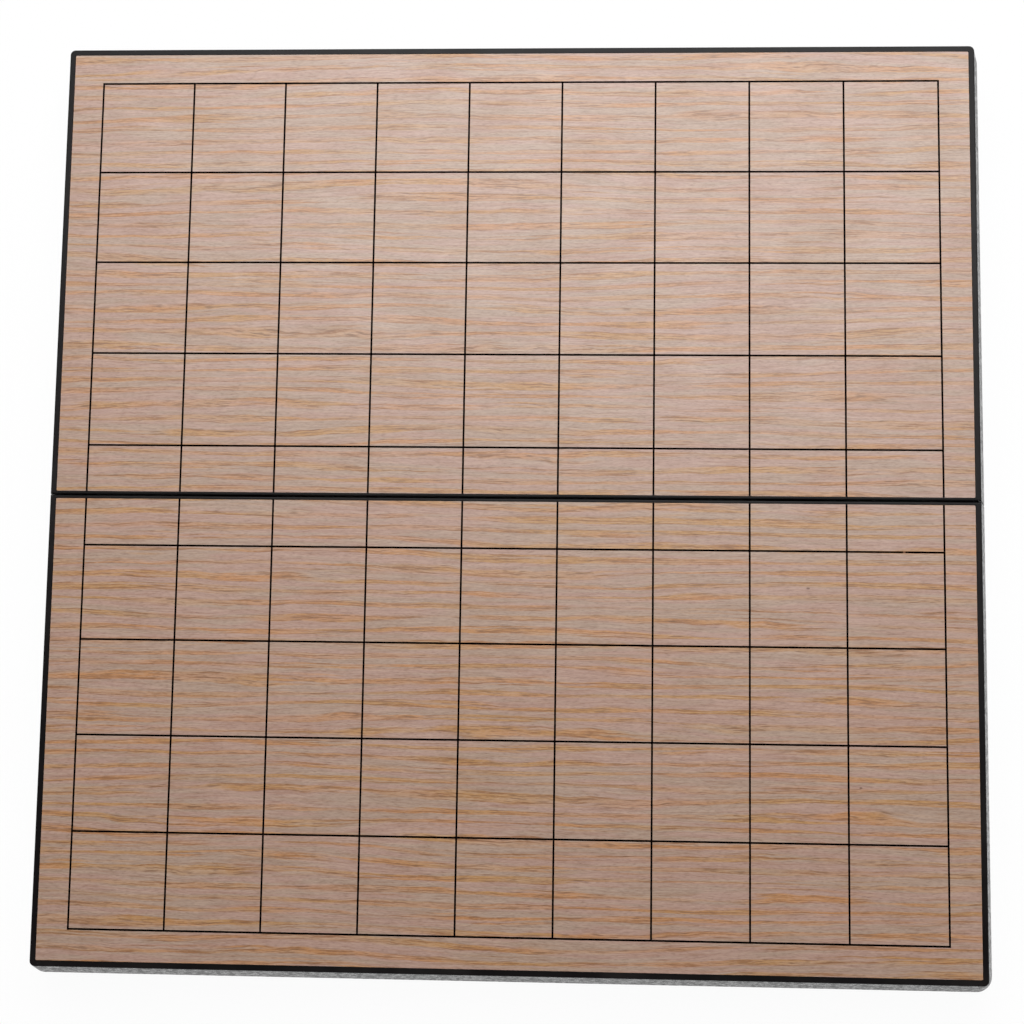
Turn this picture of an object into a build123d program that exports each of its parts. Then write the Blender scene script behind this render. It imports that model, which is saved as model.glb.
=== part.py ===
"""Folding magnetic shogi board, opened flat with its playing faces up.

X runs along the fold, Y from the near half to the far half, Z up. The origin is the
middle of the fold at the level of the base. Two moulded half boxes, hollow and open
downwards, are joined at the base of the fold by two links, each on two steel pins. The
near half folds down and under the far half, so that the hollows close on each other.
"""
import os

from build123d import *

# Outside of each half, in millimetres
half_width = 249.6
half_depth = 125.0
board_height = 20.0
fold_gap = 0.4
flare_out = 2.7
flare_drop = 10.0
rim_corner_radius = 1.3
rim_edge_radius = 0.3
fold_base_radius = 1.8

# Inside of each half
wall = 2.0
deck_thickness = 1.8
inner_corner_radius = 1.2
ceiling_radius = 0.8
rib_height = 2.0
rib_width = 1.2
cross_rib_count = 4

# Sunken seat of the sheets
rim_width = 1.4
fold_rim_width = 0.7
seat_corner_radius = 0.4
sheet_gap = 0.1
steel_thickness = 0.4
film_thickness = 0.2
film_below_rim = 0.1

# Printed grid of squares
cell_width = 25.0
cell_depth = 24.9
column_count = 9
whole_row_count = 4
line_width = 0.5
line_height = 0.03

# Link hinges
hinge_inset = 49.8
closed_gap = 0.2
pin_setback = 2.2
pin_radius = 0.7
pin_running_gap = 0.05
pin_end_gap = 0.2
pin_chamfer = 0.2
link_width = 18.0
link_radius = 1.9
link_gap = 0.3
link_edge_chamfer = 0.3
lug_width = 4.0
hood_wall = 1.4

# Clasp on the far wall and its catch on the near wall
clasp_width = 20.0
clasp_thickness = 2.4
clasp_length = 8.4
clasp_gap = 0.3
clasp_corner_radius = 2.0
clasp_lip = 0.8
clasp_pivot_height = 2.4
trunnion_radius = 0.8
trunnion_length = 1.0
window_width = 10.0
window_height = 2.4
window_reach = 5.6
catch_height = 2.0
pocket_backing = 1.5
pocket_side = 2.6
finger_slope = 3.0

# Places worked out from the sizes above
fold_face = fold_gap / 2
outer_face = fold_face + half_depth
flare_start = board_height - flare_drop
base_corner_radius = rim_corner_radius + flare_out
rim_top_width = half_width - 2 * flare_out
rim_outer_face = outer_face - flare_out
seat_depth = steel_thickness + film_thickness + film_below_rim
seat_floor = board_height - seat_depth
ceiling = seat_floor - deck_thickness
seat_width = rim_top_width - 2 * rim_width
seat_fold_edge = fold_face + fold_rim_width
seat_outer_edge = rim_outer_face - rim_width
pin_height = pin_setback - closed_gap / 2
hinge_offset = half_width / 2 - hinge_inset
hinge_places = (-hinge_offset, hinge_offset)
notch_radius = link_radius + link_gap
notch_width = link_width + 2 * link_gap
hood_radius = notch_radius + hood_wall
housing_width = notch_width + 2 * lug_width
pocket_width = clasp_width + 2 * clasp_gap
pocket_depth = clasp_thickness + 2 * clasp_gap
pocket_floor = outer_face - pocket_depth
clasp_axis_face = outer_face - clasp_gap - clasp_thickness / 2
clasp_tip_height = clasp_pivot_height + clasp_length
far_catch_height = clasp_pivot_height + window_reach
near_catch_height = window_reach - clasp_pivot_height - closed_gap
near_pocket_height = clasp_length - clasp_pivot_height - closed_gap + clasp_gap

# How far a cutting shape runs past the face that it opens
overrun = 2.0


def flare_at(height):
    """How far the outer wall stands in from its foot at a height."""
    return flare_out * max(0.0, height - flare_start) / flare_drop


def outline(height, inset, least_radius):
    """Rounded outline of both halves together, parallel to the outer wall at a height."""
    stand_in = flare_at(height) + inset
    radius = max(base_corner_radius - stand_in, least_radius)
    return RectangleRounded(half_width - 2 * stand_in, 2 * (outer_face - stand_in), radius)


def far_side_of(face):
    """Plane across the fold at a distance from its middle, facing the near half."""
    return Plane.XZ.offset(-face)


def hinge_planes(width):
    """Side planes from which a shape as wide as this is drawn at each hinge."""
    return [Plane.YZ.offset(place - width / 2) for place in hinge_places]


def hinge_profile(radius):
    """Section round the hinge pin, open to the fold and to the base."""
    reach = pin_setback + radius
    top = pin_height + radius
    with Locations((-overrun, -overrun)):
        Rectangle(reach + overrun, top + overrun, align=(Align.MIN, Align.MIN))
    fillet(vertices().sort_by(Axis.X)[-2:].sort_by(Axis.Y)[-1], radius)


def pocket_top(far):
    """Top of the pocket in the outer wall, where its floor ends."""
    return clasp_tip_height + clasp_gap if far else near_pocket_height


def core_of_half(far):
    """Everything that is hollow below the deck: ribs, lugs and pocket walls left standing."""
    with BuildPart() as core:
        with BuildSketch(Plane.XY.offset(-overrun)):
            outline(-overrun, wall, inner_corner_radius)
        extrude(amount=overrun + flare_start)
        for height in (flare_start, ceiling):
            with BuildSketch(Plane.XY.offset(height)):
                outline(height, wall, inner_corner_radius)
        loft(ruled=True)
        split(bisect_by=far_side_of(fold_face + wall), keep=Keep.BOTTOM)
        fillet(core.faces().sort_by(Axis.Z)[-1].edges(), ceiling_radius)

        # Stiffening ribs on the underside of the deck
        rib_plane = Plane.XY.offset(ceiling - rib_height)
        middle = (fold_face + outer_face) / 2
        with BuildSketch(rib_plane):
            with Locations((0, middle)):
                Rectangle(half_width, rib_width)
                with GridLocations(half_width / (cross_rib_count + 1), 1, cross_rib_count, 1):
                    Rectangle(rib_width, half_depth)
        extrude(amount=rib_height, mode=Mode.SUBTRACT)

        # Hoods and lugs round the hinge links
        with BuildSketch(*hinge_planes(housing_width)):
            hinge_profile(hood_radius)
        extrude(amount=housing_width, mode=Mode.SUBTRACT)

        # Walls that back the clasp pocket
        backing_width = pocket_width + 2 * pocket_side
        with BuildSketch(Plane.YZ.offset(-backing_width / 2)):
            with Locations((pocket_floor - pocket_backing, -overrun)):
                backing_height = overrun + pocket_top(far) + finger_slope
                Rectangle(2 * pocket_depth, backing_height, align=(Align.MIN, Align.MIN))
            fillet(vertices().sort_by(Axis.X)[:2].sort_by(Axis.Y)[-1], pocket_backing)
        extrude(amount=backing_width, mode=Mode.SUBTRACT)
    return core.part


def half_shell(far):
    """Moulded half box, drawn on the far side of the fold."""
    core = core_of_half(far)
    with BuildPart() as shell:
        with BuildSketch(Plane.XY):
            outline(0, 0, rim_corner_radius)
        extrude(amount=flare_start)
        for height in (flare_start, board_height):
            with BuildSketch(Plane.XY.offset(height)):
                outline(height, 0, rim_corner_radius)
        loft(ruled=True)
        split(bisect_by=far_side_of(fold_face), keep=Keep.BOTTOM)
        fillet(shell.faces().sort_by(Axis.Z)[-1].edges(), rim_edge_radius)
        fillet(shell.faces().sort_by(Axis.Z)[0].edges().sort_by(Axis.Y)[0], fold_base_radius)
        add(core, mode=Mode.SUBTRACT)

        # Seat of the steel plate and the film
        with BuildSketch(Plane.XY.offset(board_height)):
            with Locations((0, (seat_fold_edge + seat_outer_edge) / 2)):
                seat_length = seat_outer_edge - seat_fold_edge
                RectangleRounded(seat_width, seat_length, seat_corner_radius)
        extrude(amount=-seat_depth, mode=Mode.SUBTRACT)

        # Notches for the links and the holes for their pins
        with BuildSketch(*hinge_planes(notch_width)):
            hinge_profile(notch_radius)
        extrude(amount=notch_width, mode=Mode.SUBTRACT)
        with BuildSketch(*hinge_planes(housing_width)):
            with Locations((pin_setback, pin_height)):
                Circle(pin_radius)
        extrude(amount=housing_width, mode=Mode.SUBTRACT)

        # Pocket in the outer wall, with a slope above it for a fingernail
        floor_top = pocket_top(far)
        slope = 0.0 if far else finger_slope
        with BuildSketch(Plane.YZ.offset(-pocket_width / 2)):
            with BuildLine():
                Polyline(
                    (pocket_floor, -overrun),
                    (outer_face + overrun, -overrun),
                    (outer_face + overrun, floor_top + slope),
                    (outer_face, floor_top + slope),
                    (pocket_floor, floor_top),
                    close=True,
                )
            make_face()
        extrude(amount=pocket_width, mode=Mode.SUBTRACT)

        # Catch on the pocket floor, sloped so that the clasp rides over it
        catch_middle = far_catch_height if far else near_catch_height
        catch_width = window_width - 2 * clasp_gap
        foot = window_height / 2 - clasp_gap
        with BuildSketch(Plane.YZ.offset(-catch_width / 2)):
            with BuildLine():
                Polyline(
                    (pocket_floor - pocket_backing / 2, catch_middle - foot),
                    (pocket_floor + catch_height / 2, catch_middle - foot),
                    (pocket_floor + catch_height, catch_middle - foot / 2),
                    (pocket_floor + catch_height, catch_middle + foot / 2),
                    (pocket_floor + catch_height / 2, catch_middle + foot),
                    (pocket_floor - pocket_backing / 2, catch_middle + foot),
                    close=True,
                )
            make_face()
        extrude(amount=catch_width)

        # Blind sockets for the clasp's trunnions
        if far:
            socket_span = pocket_width + 2 * (trunnion_length + pin_running_gap)
            with BuildSketch(Plane.YZ.offset(-socket_span / 2)):
                with Locations((clasp_axis_face, clasp_pivot_height)):
                    Circle(trunnion_radius + pin_running_gap)
            extrude(amount=socket_span, mode=Mode.SUBTRACT)
        else:
            mirror(about=Plane.XZ, mode=Mode.REPLACE)
    return shell


def sheet(side, bottom, thickness, printed):
    """Flat sheet in the seat of one half, with the raised ink of the grid if printed."""
    length = seat_outer_edge - seat_fold_edge
    with BuildPart() as plate:
        with BuildSketch(Plane.XY.offset(bottom)):
            with Locations((0, side * (seat_fold_edge + seat_outer_edge) / 2)):
                corner_radius = seat_corner_radius - sheet_gap
                RectangleRounded(seat_width - 2 * sheet_gap, length - 2 * sheet_gap, corner_radius)
        extrude(amount=thickness)
        if printed:
            near_end = seat_fold_edge + sheet_gap
            far_end = seat_fold_edge + (whole_row_count + 0.5) * cell_depth
            row_middle = seat_fold_edge + (whole_row_count + 1) / 2 * cell_depth
            with BuildSketch(Plane.XY.offset(bottom + thickness)):
                with Locations((0, side * row_middle)):
                    with GridLocations(1, cell_depth, 1, whole_row_count + 1):
                        Rectangle(column_count * cell_width + line_width, line_width)
                with Locations((0, side * (near_end + far_end) / 2)):
                    with GridLocations(cell_width, 1, column_count + 1, 1):
                        Rectangle(line_width, far_end - near_end)
            extrude(amount=line_height)
    return plate


def hinge_link(place):
    """Link that bridges the fold, a flat bar with round ends and a bore at each."""
    with BuildPart() as link:
        with BuildSketch(Plane.YZ.offset(place - link_width / 2)):
            with Locations((0, pin_height)):
                SlotCenterToCenter(2 * pin_setback, 2 * link_radius)
                with Locations((-pin_setback, 0), (pin_setback, 0)):
                    Circle(pin_radius + pin_running_gap, mode=Mode.SUBTRACT)
        extrude(amount=link_width)
        left_end = link.faces().sort_by(Axis.X)[0]
        right_end = link.faces().sort_by(Axis.X)[-1]
        outer_edges = left_end.outer_wire().edges() + right_end.outer_wire().edges()
        chamfer(outer_edges, link_edge_chamfer)
    return link


def hinge_pin(place, side):
    """Steel pin across one housing, with chamfered ends."""
    length = housing_width - 2 * pin_end_gap
    with BuildPart() as pin:
        with BuildSketch(Plane.YZ.offset(place - length / 2)):
            with Locations((side * pin_setback, pin_height)):
                Circle(pin_radius)
        extrude(amount=length)
        chamfer(pin.edges().filter_by(GeomType.CIRCLE), pin_chamfer)
    return pin


def swinging_clasp():
    """Clasp parked upright in its pocket: round at the pivot, with a window for the catch."""
    with BuildPart() as clasp:
        with BuildSketch(Plane.YZ.offset(-clasp_width / 2)):
            with Locations((clasp_axis_face, clasp_pivot_height)):
                Circle(clasp_thickness / 2)
                Rectangle(clasp_thickness, clasp_length, align=(Align.CENTER, Align.MIN))
        extrude(amount=clasp_width)
        free_end = clasp.faces().sort_by(Axis.Z)[-1]
        fillet(free_end.edges().filter_by(Axis.Y), clasp_corner_radius)
        chamfer(clasp.edges().filter_by(Axis.X).sort_by(Axis.Z)[-2:].sort_by(Axis.Y)[0], clasp_lip)
        with BuildSketch(Plane.XZ.offset(-clasp_axis_face + clasp_thickness)):
            with Locations((0, clasp_pivot_height + window_reach)):
                Rectangle(window_width, window_height)
        extrude(amount=-2 * clasp_thickness, mode=Mode.SUBTRACT)
        trunnion_span = clasp_width + 2 * (clasp_gap + trunnion_length)
        with BuildSketch(Plane.YZ.offset(-trunnion_span / 2)):
            with Locations((clasp_axis_face, clasp_pivot_height)):
                Circle(trunnion_radius)
        extrude(amount=trunnion_span)
    return clasp


def write(piece, name):
    """Names a finished piece and writes its file."""
    piece.part.label = name
    export_step(piece.part, f"parts/{name}.step")


os.makedirs("parts", exist_ok=True)

halves = {"far": 1, "near": -1}
film_bottom = seat_floor + steel_thickness
for half, side in halves.items():
    write(half_shell(half == "far"), f"{half}_shell")
    write(sheet(side, seat_floor, steel_thickness, False), f"{half}_steel_plate")
    write(sheet(side, film_bottom, film_thickness, True), f"{half}_playing_face")

for hand, place in zip(("left", "right"), hinge_places):
    write(hinge_link(place), f"{hand}_hinge_link")
    for half, side in halves.items():
        write(hinge_pin(place, side), f"{half}_{hand}_hinge_pin")

write(swinging_clasp(), "clasp")
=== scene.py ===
"""Looks of a folding shogi board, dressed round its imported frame.

The board lies open with its playing faces up. X runs along the fold, Y from the near half
to the far half, Z up, and all lengths are in metres unless a name says millimetres.
"""
import logging
import math
from dataclasses import dataclass, replace
from enum import Enum

import bpy
from mathutils import Matrix, Vector


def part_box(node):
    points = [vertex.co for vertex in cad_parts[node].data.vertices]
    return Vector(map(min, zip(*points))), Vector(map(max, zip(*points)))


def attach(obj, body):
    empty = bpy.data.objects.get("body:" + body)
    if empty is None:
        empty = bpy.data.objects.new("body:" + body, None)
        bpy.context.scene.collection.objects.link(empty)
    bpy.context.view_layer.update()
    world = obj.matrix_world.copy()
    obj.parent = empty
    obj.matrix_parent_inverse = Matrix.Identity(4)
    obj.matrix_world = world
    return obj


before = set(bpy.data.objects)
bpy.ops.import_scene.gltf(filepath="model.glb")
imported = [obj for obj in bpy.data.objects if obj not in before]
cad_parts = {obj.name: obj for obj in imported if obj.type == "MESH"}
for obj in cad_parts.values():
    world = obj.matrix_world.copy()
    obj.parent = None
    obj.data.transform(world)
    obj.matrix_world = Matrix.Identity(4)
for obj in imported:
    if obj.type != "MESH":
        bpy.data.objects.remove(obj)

Socket = bpy.types.NodeSocket
Tree = bpy.types.NodeTree
Pair = tuple[float, float]
Triple = tuple[float, float, float]

MM = 0.001
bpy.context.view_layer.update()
WAVE_TURN = 20.0  # radians that the wave texture turns through in one unit
log = logging.getLogger("board")


class Slot(Enum):
    """Material slots of the record."""

    BLACK_ABS = "black_abs"
    TINNED_STEEL = "tinned_steel"
    PRINTED_FILM = "printed_film"
    PIN_STEEL = "pin_steel"


class Half(Enum):
    """The two halves of the board, by the side of the fold that they lie on."""

    FAR = "far"
    NEAR = "near"

    @property
    def body(self) -> str:
        """Name of the body that the half's pieces ride on."""
        return f"{self.value}_half"


def linear(colour: str) -> tuple[float, float, float, float]:
    """Turns an sRGB hex colour to linear light.

    Args:
        colour: The colour as "#RRGGBB".

    Returns:
        Red, green, blue and an alpha of 1.
    """
    shares = (int(colour[i : i + 2], 16) / 255 for i in (1, 3, 5))
    light = [c / 12.92 if c <= 0.04045 else ((c + 0.055) / 1.055) ** 2.4 for c in shares]
    return (*light, 1.0)


def add(
    tree: Tree,
    kind: str,
    inputs: dict[str | int, object] | None = None,
    take: str | None = None,
    **settings: object,
) -> Socket | None:
    """Adds a node with its settings and links.

    Args:
        tree: The tree that gets the node.
        kind: The node's type.
        inputs: A value or an output socket for each input, by its name or place.
        take: Name of the output that is wanted, or the first one in use.
        settings: Properties of the node, set before its inputs.

    Returns:
        The wanted output socket, or None for a node that has no outputs.
    """
    node = tree.nodes.new(kind)
    for name, value in settings.items():
        setattr(node, name, value)
    for key, value in (inputs or {}).items():
        socket = node.inputs[key] if isinstance(key, int) else in_use(node.inputs, key)
        if isinstance(value, Socket):
            tree.links.new(value, socket)
        else:
            socket.default_value = value
    return in_use(node.outputs, take) if node.outputs else None


def in_use(sockets: bpy.types.bpy_prop_collection, name: str | None) -> Socket:
    """Finds a socket that its node uses with the present settings.

    Args:
        sockets: The node's inputs or outputs.
        name: The socket's name, or None for the first one in use.

    Returns:
        The first socket that matches.
    """
    return next(s for s in sockets if s.enabled and name in (None, s.name))


@dataclass(frozen=True)
class Patches:
    """Soft patches of a real size, such as wood figure or the haze on a moulding.

    They come from noise with values about 0.5. Where it passes the edge, what shows eases
    from the first share to the second.
    """

    size_mm: Triple
    edge: Pair = (0.4, 0.6)
    share: Pair = (0.0, 1.0)
    detail: float = 1.0

    def noise(self, tree: Tree, place: Socket) -> Socket:
        """Makes the noise that the patches come from.

        Args:
            tree: The material's node tree.
            place: The place in millimetres.

        Returns:
            A socket with values about 0.5.
        """
        per_mm = tuple(1 / size for size in self.size_mm)
        scaled = add(tree, "ShaderNodeVectorMath", {0: place, 1: per_mm}, operation="MULTIPLY")
        return add(tree, "ShaderNodeTexNoise", {"Vector": scaled, "Scale": 1.0, "Detail": self.detail})

    def drawn(self, tree: Tree, place: Socket) -> Socket:
        """Draws the patches.

        Args:
            tree: The material's node tree.
            place: The place in millimetres.

        Returns:
            A socket with values from the first share to the second.
        """
        start, end = self.edge
        low, high = self.share
        inputs = {
            "Value": self.noise(tree, place),
            "From Min": start,
            "From Max": end,
            "To Min": low,
            "To Max": high,
        }
        return add(tree, "ShaderNodeMapRange", inputs, interpolation_type="SMOOTHSTEP")


@dataclass(frozen=True)
class Sway:
    """Waves of one size that push the grain sideways."""

    waves: Patches
    reach_mm: float


@dataclass(frozen=True)
class PrintFlaw:
    """A small soft spot on the print, by its middle and its size in millimetres."""

    at_mm: Pair
    length_mm: float
    width_mm: float
    strength: float
    colour: str


PRINT_FLAWS = (
    PrintFlaw((49.8, -6.8), 2.4, 1.2, 0.35, "#8A6A58"),
    PrintFlaw((77.5, -23.0), 1.3, 0.6, 0.8, "#5E4030"),
    PrintFlaw((90.6, -73.8), 1.1, 0.6, 0.8, "#5E4030"),
)
LINE_NICK = PrintFlaw((102.2, -13.3), 0.9, 1.2, 0.8, "#7A5A48")


@dataclass(frozen=True)
class Finish:
    """A material of the board, made from the way that its surface was made."""

    name: str
    slot: Slot

    def material(self) -> bpy.types.Material:
        """Makes the material.

        Returns:
            The material with its shader linked to the output.
        """
        made = bpy.data.materials.new(self.name)
        made.use_nodes = True
        made.node_tree.nodes.clear()
        shader = self.shader(made.node_tree)
        add(made.node_tree, "ShaderNodeOutputMaterial", {"Surface": shader})
        return made

    def shader(self, tree: Tree) -> Socket:
        """Builds the shader, which each finish does in its own way.

        Args:
            tree: The material's node tree.

        Returns:
            The shader socket.
        """
        raise NotImplementedError

    def place(self, tree: Tree) -> Socket:
        """Gives the place on the piece in millimetres.

        Args:
            tree: The material's node tree.

        Returns:
            A vector socket.
        """
        point = add(tree, "ShaderNodeTexCoord", take="Object")
        return add(tree, "ShaderNodeVectorMath", {0: point, "Scale": 1 / MM}, operation="SCALE")


@dataclass(frozen=True)
class PrintedFilm(Finish):
    """Vinyl film with a printed oak figure and a screen-printed grid, laminated matt.

    The grain is only ink, so it gives colour and no relief. The eye sees bundles of tan
    streaks a few millimetres apart, with dark broken pores inside them and cool pinkish wood
    between. Real pores are about 0.1 mm wide and would vanish, since a pixel of the picture
    covers more than that, so fibres, flecks and pores are drawn twice as coarse.
    """

    lavender: str = "#A8897C"
    ash: str = "#A38B7B"
    tan: str = "#B17E53"
    olive: str = "#AD8253"
    streak: str = "#8C6140"
    pore: str = "#6C4D38"
    bloom: str = "#C2A692"
    ink: str = "#070404"

    ring_mm: float = 3.3
    ring_pull: float = 0.38
    bundles: Patches = Patches((26.0, 0.8, 50.0))
    band_edge: Pair = (0.65, 0.88)
    strength: Patches = Patches((40.0, 3.0, 50.0), (0.35, 0.6), (0.5, 1.0))
    full_band: float = 0.5
    between_bands: float = 0.35
    tint: Patches = Patches((30.0, 1.7, 50.0))
    hue: Patches = Patches((35.0, 3.5, 50.0), detail=2.0)
    dark_fibres: Patches = Patches((9.0, 0.27, 50.0), (0.52, 0.7), (0.0, 0.9))
    pale_fibres: Patches = Patches((9.0, 0.27, 50.0), (0.5, 0.26), (0.0, 0.3))
    dark_flecks: Patches = Patches((1.2, 0.2, 50.0), (0.5, 0.8), (0.0, 0.4))
    pale_flecks: Patches = Patches((1.2, 0.2, 50.0), (0.5, 0.2), (0.0, 0.3))
    pores: Patches = Patches((4.0, 0.2, 50.0), (0.53, 0.72), (0.0, 0.65))
    sways: tuple[Sway, ...] = (
        Sway(Patches((90.0, 40.0, 50.0), detail=0.0), 2.6),
        Sway(Patches((9.0, 3.5, 50.0)), 0.9),
        Sway(Patches((70.0, 6.0, 50.0), detail=0.0), 4.0),
    )
    flaw_edge: Pair = (0.2, 0.5)

    index: float = 1.5
    shine: float = 0.5
    ink_shine: float = 0.0
    ink_roughness: float = 0.85
    ink_height: float = 0.03 * MM
    sheen: Patches = Patches((18.0, 14.0, 10.0), (0.3, 0.7), (0.29, 0.40), 3.0)
    peel: Patches = Patches((0.45, 0.45, 0.45), detail=2.0)
    peel_depth: float = 0.004 * MM

    def shader(self, tree: Tree) -> Socket:
        """Builds the print, its ink grid and the matt lamination.

        Args:
            tree: The material's node tree.

        Returns:
            The shader socket.
        """
        place = self.place(tree)
        height = add(tree, "ShaderNodeSeparateXYZ", {0: place}, take="Z")
        ink_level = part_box("far_playing_face")[1].z - self.ink_height / 2
        inked = add(tree, "ShaderNodeMath", {0: height, 1: ink_level / MM}, operation="GREATER_THAN")
        nicked = {
            "Factor": self.spot(tree, place, LINE_NICK),
            "A": linear(self.ink),
            "B": linear(LINE_NICK.colour),
        }
        ink = add(tree, "ShaderNodeMix", nicked, data_type="RGBA")
        printed = {"Factor": inked, "A": self.wood(tree, place), "B": ink}
        colour = add(tree, "ShaderNodeMix", printed, data_type="RGBA")

        sheen = {"Factor": inked, "A": self.sheen.drawn(tree, place), "B": self.ink_roughness}
        rough = add(tree, "ShaderNodeMix", sheen, data_type="FLOAT")
        shines = {"Factor": inked, "A": self.shine, "B": self.ink_shine}
        shine = add(tree, "ShaderNodeMix", shines, data_type="FLOAT")
        peel = self.peel.noise(tree, place)
        relief = add(tree, "ShaderNodeBump", {"Height": peel, "Distance": self.peel_depth, "Strength": 1.0})
        surface = {
            "Base Color": colour,
            "Roughness": rough,
            "Specular IOR Level": shine,
            "Normal": relief,
            "IOR": self.index,
        }
        return add(tree, "ShaderNodeBsdfPrincipled", surface)

    def wood(self, tree: Tree, place: Socket) -> Socket:
        """Prints the oak figure: two woods by turns, then fibres, flecks, pores and flaws.

        Args:
            tree: The material's node tree.
            place: The place in millimetres.

        Returns:
            The colour of the wood.
        """
        grained = self.swayed(tree, place)
        tints = {"Factor": self.tint.drawn(tree, grained), "A": linear(self.lavender), "B": linear(self.ash)}
        cool = add(tree, "ShaderNodeMix", tints, data_type="RGBA")
        hues = {"Factor": self.hue.drawn(tree, grained), "A": linear(self.tan), "B": linear(self.olive)}
        warm = add(tree, "ShaderNodeMix", hues, data_type="RGBA")
        band = self.bands(tree, grained)
        wood = add(tree, "ShaderNodeMix", {"Factor": band, "A": cool, "B": warm}, data_type="RGBA")

        nearness = {"Value": band, "From Max": self.full_band, "To Min": self.between_bands}
        in_band = add(tree, "ShaderNodeMapRange", nearness, interpolation_type="SMOOTHSTEP")
        fibres, pores = (
            add(tree, "ShaderNodeMath", {0: dark.drawn(tree, grained), 1: in_band}, operation="MULTIPLY")
            for dark in (self.dark_fibres, self.pores)
        )
        layers = [
            (fibres, self.streak),
            (self.pale_fibres.drawn(tree, grained), self.bloom),
            (self.dark_flecks.drawn(tree, place), self.pore),
            (self.pale_flecks.drawn(tree, place), self.bloom),
            (pores, self.pore),
            *((self.spot(tree, place, flaw), flaw.colour) for flaw in PRINT_FLAWS),
        ]
        for share, colour in layers:
            layer = {"Factor": share, "A": wood, "B": linear(colour)}
            wood = add(tree, "ShaderNodeMix", layer, data_type="RGBA")
        return wood

    def bands(self, tree: Tree, grained: Socket) -> Socket:
        """Finds the bundles of tan streaks, which the growth rings pull to an even spacing.

        Args:
            tree: The material's node tree.
            grained: The place in millimetres, swayed with the grain.

        Returns:
            How strongly the tan shows.
        """
        rings = {"Vector": grained, "Scale": math.tau / WAVE_TURN / self.ring_mm, "Distortion": 0.0}
        ring = add(tree, "ShaderNodeTexWave", rings, bands_direction="Y")
        pulled = {0: ring, 1: self.ring_pull, 2: self.bundles.noise(tree, grained)}
        bundled = add(tree, "ShaderNodeMath", pulled, operation="MULTIPLY_ADD")
        start, end = self.band_edge
        edges = {"Value": bundled, "From Min": start, "From Max": end}
        band = add(tree, "ShaderNodeMapRange", edges, interpolation_type="SMOOTHSTEP")
        strength = self.strength.drawn(tree, grained)
        return add(tree, "ShaderNodeMath", {0: band, 1: strength}, operation="MULTIPLY")

    def swayed(self, tree: Tree, place: Socket) -> Socket:
        """Bends the straight grain into the slow waves and small ripples of real growth.

        Args:
            tree: The material's node tree.
            place: The place in millimetres.

        Returns:
            The place moved across the grain.
        """
        shift = 0.0
        for sway in self.sways:
            pushed = {0: sway.waves.noise(tree, place), 1: sway.reach_mm, 2: shift}
            shift = add(tree, "ShaderNodeMath", pushed, operation="MULTIPLY_ADD")
        across = add(tree, "ShaderNodeCombineXYZ", {"Y": shift})
        return add(tree, "ShaderNodeVectorMath", {0: place, 1: across}, operation="ADD")

    def spot(self, tree: Tree, place: Socket, flaw: PrintFlaw) -> Socket:
        """Finds the soft spot that one flaw covers.

        Args:
            tree: The material's node tree.
            place: The place in millimetres.
            flaw: The flaw.

        Returns:
            The flaw's strength at its middle, falling to 0 at its edge.
        """
        flat = add(tree, "ShaderNodeVectorMath", {0: place, 1: (1.0, 1.0, 0.0)}, operation="MULTIPLY")
        offset = add(tree, "ShaderNodeVectorMath", {0: flat, 1: (*flaw.at_mm, 0.0)}, operation="SUBTRACT")
        shares = (1 / flaw.length_mm, 1 / flaw.width_mm, 0.0)
        scaled = add(tree, "ShaderNodeVectorMath", {0: offset, 1: shares}, operation="MULTIPLY")
        distance = add(tree, "ShaderNodeVectorMath", {0: scaled}, take="Value", operation="LENGTH")
        start, end = self.flaw_edge
        fading = {
            "Value": distance,
            "From Min": start,
            "From Max": end,
            "To Min": flaw.strength,
            "To Max": 0.0,
        }
        return add(tree, "ShaderNodeMapRange", fading, interpolation_type="SMOOTHSTEP")


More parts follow.
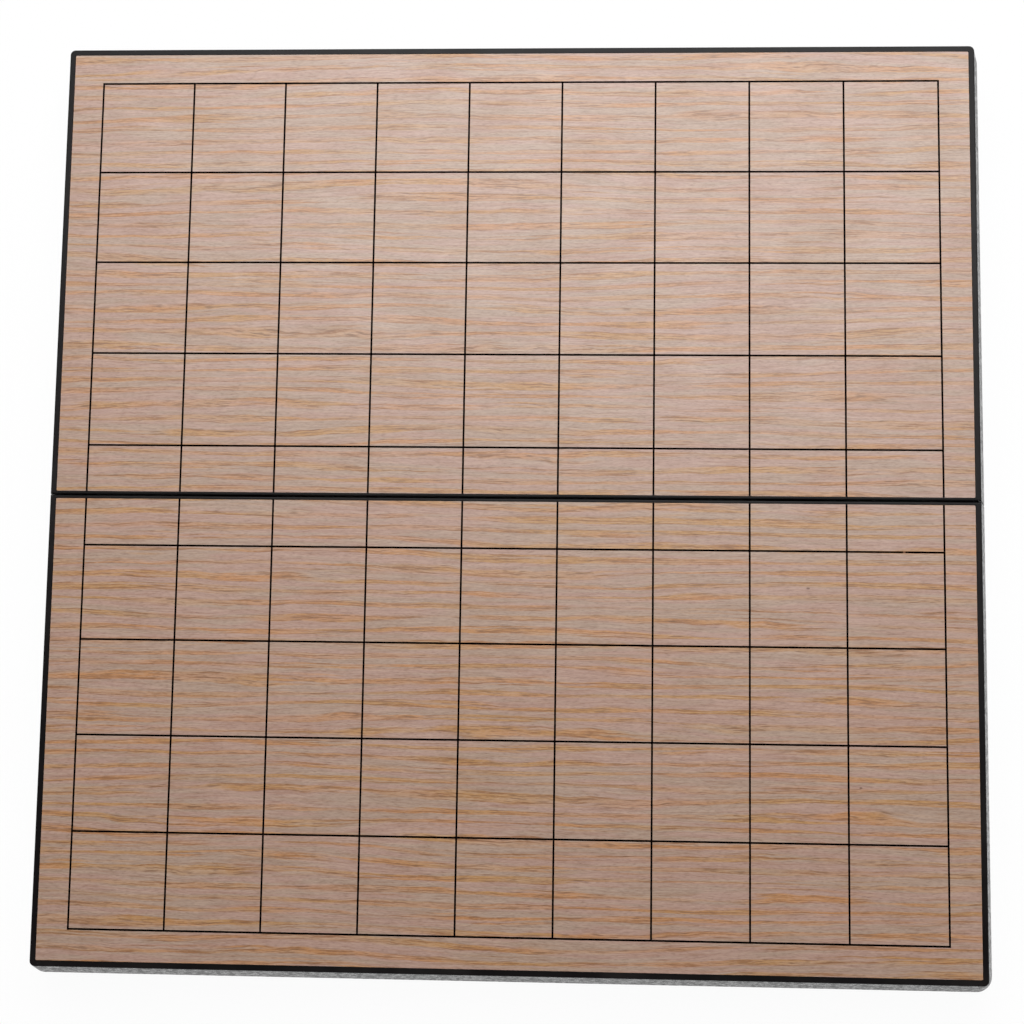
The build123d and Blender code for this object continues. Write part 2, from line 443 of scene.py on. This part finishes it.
@dataclass(frozen=True)
class TexturedAbs(Finish):
    """Injection-moulded black ABS from an etched mould.

    The outer walls carry a leather grain of pebbles and creases, which breaks up what they
    reflect into small glints. The rims and the inside have a fine spark finish, which only
    softens their shine. Real spark grit is a few hundredths of a millimetre, too fine to
    show, so it is drawn as coarse as 0.18 mm.
    """

    colour: str = "#0D0A0B"
    dust: str = "#24211F"
    index: float = 1.52
    shine: float = 0.12
    rim_roughness: float = 0.38
    rim_wear: Pair = (-0.04, 0.06)

    pebble_mm: float = 0.7
    jitter_mm: float = 0.9091
    creases: Patches = Patches((1.3, 1.3, 1.9), (0.38, 0.62), (0.16, 0.34))
    crease_height: float = 1.1
    spark: Patches = Patches((0.18, 0.18, 0.18), detail=2.0)
    spark_height: float = 0.04
    leather_depth: float = 0.13 * MM
    haze: Patches = Patches((14.0, 14.0, 9.0), (0.45, 0.75), (0.0, 0.35), 4.0)
    wear_edge: Pair = (0.3, 0.7)

    lean: float = 0.27
    lean_from_mm: float = 10.0
    skin_mm: float = 1.0
    rim_edge_mm: float = 0.35

    def shader(self, tree: Tree) -> Socket:
        """Builds the moulded surface.

        Args:
            tree: The material's node tree.

        Returns:
            The shader socket.
        """
        place = self.place(tree)
        leathered = self.leathered(tree, place)
        dusted = {"Factor": self.haze.drawn(tree, place), "A": linear(self.colour), "B": linear(self.dust)}
        colour = add(tree, "ShaderNodeMix", dusted, data_type="RGBA")
        least, most = self.rim_wear
        worn = replace(
            self.haze, edge=self.wear_edge, share=(self.rim_roughness + least, self.rim_roughness + most)
        )
        gloss = {
            "Factor": leathered,
            "A": worn.drawn(tree, place),
            "B": self.creases.drawn(tree, place),
        }
        rough = add(tree, "ShaderNodeMix", gloss, data_type="FLOAT")
        surface = {
            "Base Color": colour,
            "Roughness": rough,
            "Normal": self.relief(tree, place, leathered),
            "IOR": self.index,
            "Specular IOR Level": self.shine,
        }
        return add(tree, "ShaderNodeBsdfPrincipled", surface)

    def relief(self, tree: Tree, place: Socket, leathered: Socket) -> Socket:
        """Raises the leather grain of the outer walls and the spark finish everywhere.

        Args:
            tree: The material's node tree.
            place: The place in millimetres.
            leathered: 1 where the leather grain is and 0 elsewhere.

        Returns:
            The bumped normal.
        """
        jittering = {"Vector": place, "Scale": 1 / self.jitter_mm}
        jitter = add(tree, "ShaderNodeTexNoise", jittering, take="Color")
        warped = add(tree, "ShaderNodeVectorMath", {0: place, 1: jitter}, operation="ADD")
        pebbles = {"Vector": warped, "Scale": 1 / self.pebble_mm}
        pebble = add(tree, "ShaderNodeTexVoronoi", pebbles, feature="SMOOTH_F1")
        creased = {0: self.creases.noise(tree, place), 1: self.crease_height, 2: pebble}
        grain = add(tree, "ShaderNodeMath", creased, operation="MULTIPLY_ADD")
        rise = add(tree, "ShaderNodeMath", {0: grain, 1: leathered}, operation="MULTIPLY")
        sparked = {0: self.spark.noise(tree, place), 1: self.spark_height, 2: rise}
        height = add(tree, "ShaderNodeMath", sparked, operation="MULTIPLY_ADD")
        leather = {"Height": height, "Distance": self.leather_depth, "Strength": 1.0}
        return add(tree, "ShaderNodeBump", leather)

    def leathered(self, tree: Tree, place: Socket) -> Socket:
        """Finds the outer walls, which lean in above the middle of their height.

        Args:
            tree: The material's node tree.
            place: The place in millimetres.

        Returns:
            1 on the outer walls and 0 on the rims and inside.
        """
        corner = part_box("far_shell")[1] / MM
        flat = add(tree, "ShaderNodeVectorMath", {0: place}, operation="ABSOLUTE")
        at = add(tree, "ShaderNodeSeparateXYZ", {0: flat}).node.outputs
        past_end = add(tree, "ShaderNodeMath", {0: at["X"], 1: corner.x}, operation="SUBTRACT")
        past_side = add(tree, "ShaderNodeMath", {0: at["Y"], 1: corner.y}, operation="SUBTRACT")
        outside = add(tree, "ShaderNodeMath", {0: past_end, 1: past_side}, operation="MAXIMUM")
        above = add(tree, "ShaderNodeMath", {0: at["Z"], 1: self.lean_from_mm}, operation="SUBTRACT")
        leaning = add(tree, "ShaderNodeMath", {0: above, 1: 0.0}, operation="MAXIMUM")
        upright = {0: leaning, 1: self.lean, 2: outside}
        depth = add(tree, "ShaderNodeMath", upright, operation="MULTIPLY_ADD")
        skin = add(tree, "ShaderNodeMath", {0: depth, 1: -self.skin_mm}, operation="GREATER_THAN")
        rim_mm = corner.z - self.rim_edge_mm
        below_rim = add(tree, "ShaderNodeMath", {0: at["Z"], 1: rim_mm}, operation="LESS_THAN")
        return add(tree, "ShaderNodeMath", {0: skin, 1: below_rim}, operation="MULTIPLY")


@dataclass(frozen=True)
class TinnedSheet(Finish):
    """Cold-rolled steel sheet with a tin coat: fine rolling lines along X and a soft grey shine.

    Real rolling lines are a few hundredths of a millimetre apart, too fine to show, so they
    are drawn 0.35 mm apart.
    """

    colour: str = "#C9CAC8"
    dull: str = "#A9AAA8"
    spangle: Patches = Patches((6.0, 6.0, 6.0), (0.4, 0.65), (0.0, 0.6), 3.0)
    rolled: Patches = Patches((30.0, 0.35, 5.0), (0.3, 0.7), (0.27, 0.43), 3.0)
    line_depth: float = 0.004 * MM
    line_strength: float = 0.8

    def shader(self, tree: Tree) -> Socket:
        """Builds the rolled sheet.

        Args:
            tree: The material's node tree.

        Returns:
            The shader socket.
        """
        place = self.place(tree)
        dulled = {"Factor": self.spangle.drawn(tree, place), "A": linear(self.colour), "B": linear(self.dull)}
        lines = {
            "Height": self.rolled.noise(tree, place),
            "Distance": self.line_depth,
            "Strength": self.line_strength,
        }
        surface = {
            "Base Color": add(tree, "ShaderNodeMix", dulled, data_type="RGBA"),
            "Metallic": 1.0,
            "Roughness": self.rolled.drawn(tree, place),
            "Normal": add(tree, "ShaderNodeBump", lines),
        }
        return add(tree, "ShaderNodeBsdfPrincipled", surface)


@dataclass(frozen=True)
class DrawnWire(Finish):
    """Steel wire drawn through a die: bright, with fine lines along its length.

    Real drawing lines are a few hundredths of a millimetre wide, too fine to show, so they
    are drawn 0.12 mm wide.
    """

    colour: str = "#B9B6B0"
    drawing: Patches = Patches((12.0, 0.12, 0.12), (0.3, 0.7), (0.22, 0.38), 2.0)
    line_depth: float = 0.004 * MM
    line_strength: float = 0.7

    def shader(self, tree: Tree) -> Socket:
        """Builds the drawn surface.

        Args:
            tree: The material's node tree.

        Returns:
            The shader socket.
        """
        place = self.place(tree)
        lines = {
            "Height": self.drawing.noise(tree, place),
            "Distance": self.line_depth,
            "Strength": self.line_strength,
        }
        surface = {
            "Base Color": linear(self.colour),
            "Metallic": 1.0,
            "Roughness": self.drawing.drawn(tree, place),
            "Normal": add(tree, "ShaderNodeBump", lines),
        }
        return add(tree, "ShaderNodeBsdfPrincipled", surface)


made_materials: dict[str, bpy.types.Material] = {}


def made_material(finish: Finish) -> bpy.types.Material:
    """Gives a finish's material, made once for all the pieces that share it.

    Args:
        finish: The finish.

    Returns:
        Its material.
    """
    if finish.name not in made_materials:
        made_materials[finish.name] = finish.material()
    return made_materials[finish.name]


def dress_node(node: str, finish: Finish) -> None:
    """Puts a finish on a CAD node.

    Args:
        node: The node's name.
        finish: The finish that it gets.
    """
    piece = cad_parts[node]
    for slot in piece.material_slots:
        slot.material = made_material(finish)
    log.info("%s: %s, %d faces", node, finish.name, len(piece.data.polygons))


@dataclass
class EjectorMarks:
    """Shallow round marks, ringed with flash, that a mould's ejector pins leave under a deck.

    One pin pushes in the middle of each bay between the ribs. Every mark is pressed a
    little more or less than the next, as on a real moulding.
    """

    half: Half
    finish: Finish
    columns: int = 5
    rows: int = 2
    row_share: float = 0.48
    deck_thickness: float = 1.8 * MM
    radius: float = 2.4 * MM
    depth: float = 0.3 * MM
    flash: float = 0.14 * MM
    sides: int = 40
    flash_sides: int = 8
    least_pressed: Triple = (1.0, 1.0, 0.5)
    most_pressed: Triple = (1.0, 1.0, 1.4)
    seed: int = 7

    def dress(self) -> None:
        """Builds the half's marks as one plain mesh and lets them ride with the half."""
        low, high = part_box(f"{self.half.value}_shell")
        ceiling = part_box(f"{self.half.value}_steel_plate")[0].z - self.deck_thickness
        sizes = {
            "Middle": Vector(((low.x + high.x) / 2, (low.y + high.y) / 2, ceiling)),
            "Columns": self.columns,
            "Rows": self.rows,
            "Length": (high.x - low.x) * (self.columns - 1) / self.columns,
            "Width": (high.y - low.y) * self.row_share,
            "Radius": self.radius,
            "Depth": self.depth,
            "Flash": self.flash,
        }
        marks = self.realised(f"{self.half.value}_ejector_marks", sizes)
        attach(marks, self.half.body)
        log.info("%s: %s, %d faces", marks.name, self.finish.name, len(marks.data.polygons))

    def realised(self, name: str, sizes: dict[str, object]) -> bpy.types.Object:
        """Runs the node tree once and keeps its result as a plain mesh.

        Args:
            name: The piece's name.
            sizes: The value of each input of the tree, by name.

        Returns:
            The piece, at the origin and without a modifier.
        """
        tree = self.tree()
        piece = bpy.data.objects.new(name, bpy.data.meshes.new(name))
        bpy.context.scene.collection.objects.link(piece)
        modifier = piece.modifiers.new("marks", "NODES")
        modifier.node_group = tree
        for item in tree.interface.items_tree:
            if item.in_out == "INPUT":
                modifier[item.identifier] = sizes[item.name]
        graph = bpy.context.evaluated_depsgraph_get()
        mesh = bpy.data.meshes.new_from_object(piece.evaluated_get(graph), depsgraph=graph)
        piece.modifiers.remove(modifier)
        piece.data = mesh
        mesh.name = name
        mesh.materials.clear()
        mesh.materials.append(made_material(self.finish))
        mesh.polygons.foreach_set("material_index", [0] * len(mesh.polygons))
        return piece

    def tree(self) -> Tree:
        """Builds the Geometry Nodes tree that stands one mark in each bay.

        Returns:
            The tree, with a named input for each size.
        """
        tree = bpy.data.node_groups.new("ejector_marks", "GeometryNodeTree")
        kinds = {"Middle": "Vector", "Columns": "Int", "Rows": "Int"}
        for name in ("Middle", "Columns", "Rows", "Length", "Width", "Radius", "Depth", "Flash"):
            kind = f"NodeSocket{kinds.get(name, 'Float')}"
            tree.interface.new_socket(name, in_out="INPUT", socket_type=kind)
        tree.interface.new_socket("Marks", in_out="OUTPUT", socket_type="NodeSocketGeometry")
        given = tree.nodes.new("NodeGroupInput").outputs

        pin = {"Vertices": self.sides, "Radius": given["Radius"], "Depth": given["Depth"]}
        button = add(tree, "GeometryNodeMeshCylinder", pin)
        ring = {"Resolution": self.sides, "Radius": given["Radius"]}
        circle = add(tree, "GeometryNodeCurvePrimitiveCircle", ring)
        round_bead = {"Resolution": self.flash_sides, "Radius": given["Flash"]}
        bead = add(tree, "GeometryNodeCurvePrimitiveCircle", round_bead)
        flash = add(tree, "GeometryNodeCurveToMesh", {"Curve": circle, "Profile Curve": bead})
        mark = add(tree, "GeometryNodeJoinGeometry", {"Geometry": button})
        tree.links.new(flash, mark.node.inputs["Geometry"])

        spread = {
            "Size X": given["Length"],
            "Size Y": given["Width"],
            "Vertices X": given["Columns"],
            "Vertices Y": given["Rows"],
        }
        bays = add(tree, "GeometryNodeMeshGrid", spread)
        pressing = {"Min": self.least_pressed, "Max": self.most_pressed, "Seed": self.seed}
        pressed = add(tree, "FunctionNodeRandomValue", pressing, data_type="FLOAT_VECTOR")
        standing = {"Points": bays, "Instance": mark, "Scale": pressed}
        stood = add(tree, "GeometryNodeInstanceOnPoints", standing)
        placed = add(tree, "GeometryNodeTransform", {"Geometry": stood, "Translation": given["Middle"]})
        plain = add(tree, "GeometryNodeRealizeInstances", {"Geometry": placed})
        coat = {"Geometry": plain, "Material": made_material(self.finish)}
        dressed = add(tree, "GeometryNodeSetMaterial", coat)
        add(tree, "NodeGroupOutput", {"Marks": dressed})
        return tree


@dataclass
class HalfBoard:
    """One half: its moulded box with the steel plate and the printed film in its seat."""

    half: Half
    shell_finish: Finish
    mark_finish: Finish
    plate_finish: Finish
    film_finish: Finish

    def dress(self) -> None:
        """Gives the half's CAD nodes their finishes and adds its ejector marks."""
        dress_node(f"{self.half.value}_shell", self.shell_finish)
        dress_node(f"{self.half.value}_steel_plate", self.plate_finish)
        dress_node(f"{self.half.value}_playing_face", self.film_finish)
        EjectorMarks(self.half, self.mark_finish).dress()


@dataclass
class Hinges:
    """The two moulded links of the fold and the four pins that they turn on."""

    link_finish: Finish
    pin_finish: Finish

    def dress(self) -> None:
        """Gives the links and pins their finishes."""
        for hand in ("left", "right"):
            dress_node(f"{hand}_hinge_link", self.link_finish)
            for half in Half:
                dress_node(f"{half.value}_{hand}_hinge_pin", self.pin_finish)


@dataclass
class Clasp:
    """The moulded clasp in the far wall."""

    finish: Finish

    def dress(self) -> None:
        """Gives the clasp its finish."""
        dress_node("clasp", self.finish)


@dataclass
class Studio:
    """Pale floor, white surroundings, one soft lamp and the camera of the photograph."""

    white: str = "#FFFFFF"
    paper_colour: str = "#EDEDEC"
    floor_radius: float = 4.0
    floor_drop: float = 0.05 * MM
    floor_clearness: float = 0.96
    wall_height: float = 3.0
    wall_sides: int = 64
    under_floor: float = 1.5
    ceiling_light: float = 0.15

    lamp_at: Triple = (0.053, 0.532, 0.831)
    lamp_size: float = 0.86
    lamp_watts: float = 13.5

    lens: float = 65.04
    sensor: float = 36.0
    camera_at: Triple = (0.02607, -0.06286, 0.5)
    aim: Triple = (0.0006, -0.00373, 0.02)
    roll_degrees: float = 0.85

    def build(self) -> None:
        """Builds the stage, the lamp, the world and the camera."""
        self.build_floor()
        self.build_surround()
        self.build_lamp()
        self.build_world()
        self.build_camera()

    def build_floor(self) -> None:
        """Lays the floor, which shows the shadow and lets what folds below it be seen."""
        mesh = bpy.data.meshes.new("floor")
        r, z = self.floor_radius, -self.floor_drop
        mesh.from_pydata([(-r, -r, z), (r, -r, z), (r, r, z), (-r, r, z)], [], [(0, 1, 2, 3)])
        floor = bpy.data.objects.new("floor", mesh)
        bpy.context.scene.collection.objects.link(floor)
        mesh.materials.append(self.paper("white_floor_paper", see_through=True))

    def build_surround(self) -> None:
        """Stands a white wall all round, with a white ground far below the floor."""
        sides, r = self.wall_sides, self.floor_radius
        turns = [math.tau * i / sides for i in range(sides)]
        levels = (-self.under_floor, self.wall_height)
        points = [(r * math.cos(turn), r * math.sin(turn), z) for z in levels for turn in turns]
        walls = [(i, (i + 1) % sides, (i + 1) % sides + sides, i + sides) for i in range(sides)]
        mesh = bpy.data.meshes.new("surround")
        mesh.from_pydata(points, [], [*walls, tuple(range(sides))])
        surround = bpy.data.objects.new("surround", mesh)
        bpy.context.scene.collection.objects.link(surround)
        mesh.materials.append(self.paper("white_backdrop_paper", see_through=False))

    def paper(self, name: str, see_through: bool) -> bpy.types.Material:
        """Makes matt white paper that reflections see as plain white.

        The camera sees the backdrop as plain white too. It sees the floor only faintly,
        by its shade, and through it what lies below.

        Args:
            name: The material's name.
            see_through: True for the floor.

        Returns:
            The material.
        """
        made = bpy.data.materials.new(name)
        made.use_nodes = True
        tree = made.node_tree
        tree.nodes.clear()
        rays = tree.nodes.new("ShaderNodeLightPath").outputs
        diffuse = add(tree, "ShaderNodeBsdfDiffuse", {"Color": linear(self.paper_colour)})
        white = add(tree, "ShaderNodeEmission", {"Color": linear(self.white), "Strength": 1.0})
        mirroring = {0: rays["Is Glossy Ray"], 1: rays["Is Transmission Ray"]}
        mirrored = add(tree, "ShaderNodeMath", mirroring, operation="MAXIMUM")
        if see_through:
            clear = add(tree, "ShaderNodeBsdfTransparent")
            seeing, reflecting = (
                add(tree, "ShaderNodeMath", {0: ray, 1: self.floor_clearness}, operation="MULTIPLY")
                for ray in (rays["Is Camera Ray"], mirrored)
            )
            surface = add(tree, "ShaderNodeMixShader", {0: seeing, 1: diffuse, 2: clear})
            surface = add(tree, "ShaderNodeMixShader", {0: reflecting, 1: surface, 2: white})
            surface = add(tree, "ShaderNodeMixShader", {0: rays["Is Shadow Ray"], 1: surface, 2: clear})
        else:
            plain = add(tree, "ShaderNodeMath", {0: mirrored, 1: rays["Is Camera Ray"]}, operation="MAXIMUM")
            surface = add(tree, "ShaderNodeMixShader", {0: plain, 1: diffuse, 2: white})
        add(tree, "ShaderNodeOutputMaterial", {"Surface": surface})
        return made

    def build_lamp(self) -> None:
        """Hangs the square soft lamp, behind the board and a little to the right."""
        data = bpy.data.lights.new("key_lamp", "AREA")
        data.size = self.lamp_size
        data.energy = self.lamp_watts
        lamp = bpy.data.objects.new("key_lamp", data)
        lamp.location = self.lamp_at
        lamp.rotation_mode = "QUATERNION"
        lamp.rotation_quaternion = (-Vector(self.lamp_at)).to_track_quat("-Z", "Y")
        lamp.visible_camera = False
        bpy.context.scene.collection.objects.link(lamp)

    def build_world(self) -> None:
        """Makes the dim light of a grey ceiling, which the camera sees as plain white."""
        world = bpy.data.worlds.new("ceiling")
        world.use_nodes = True
        tree = world.node_tree
        tree.nodes.clear()
        dim, white = (
            add(tree, "ShaderNodeBackground", {"Color": linear(self.white), "Strength": strength})
            for strength in (self.ceiling_light, 1.0)
        )
        seen = add(tree, "ShaderNodeLightPath", take="Is Camera Ray")
        sky = add(tree, "ShaderNodeMixShader", {0: seen, 1: dim, 2: white})
        add(tree, "ShaderNodeOutputWorld", {"Surface": sky})
        bpy.context.scene.world = world

    def build_camera(self) -> None:
        """Places the camera where the photograph was taken from, with the far half up."""
        data = bpy.data.cameras.new("photo_camera")
        data.lens = self.lens
        data.sensor_width = self.sensor
        camera = bpy.data.objects.new("photo_camera", data)
        place = Vector(self.camera_at)
        back = (place - Vector(self.aim)).normalized()
        right = Vector((0, 1, 0)).cross(back).normalized()
        level = Matrix((right, back.cross(right), back)).transposed()
        turn = level @ Matrix.Rotation(math.radians(self.roll_degrees), 3, "Z")
        camera.matrix_world = Matrix.LocRotScale(place, turn.to_quaternion(), None)
        bpy.context.scene.collection.objects.link(camera)
        bpy.context.scene.camera = camera


def main() -> None:
    """Dresses the board, then builds the studio round it."""
    logging.basicConfig(level=logging.INFO, format="%(name)s: %(message)s")
    moulded = TexturedAbs("moulded_black_abs", Slot.BLACK_ABS)
    pressed = TexturedAbs("pin_pressed_black_abs", Slot.BLACK_ABS, rim_roughness=0.12)
    tinned = TinnedSheet("tinned_steel_sheet", Slot.TINNED_STEEL)
    film = PrintedFilm("printed_oak_film", Slot.PRINTED_FILM)
    wire = DrawnWire("drawn_steel_wire", Slot.PIN_STEEL)
    for half in Half:
        HalfBoard(half, moulded, pressed, tinned, film).dress()
    Hinges(moulded, wire).dress()
    Clasp(moulded).dress()
    Studio().build()
    bpy.context.scene.view_settings.view_transform = "Standard"


if __name__ == "__main__":
    main()
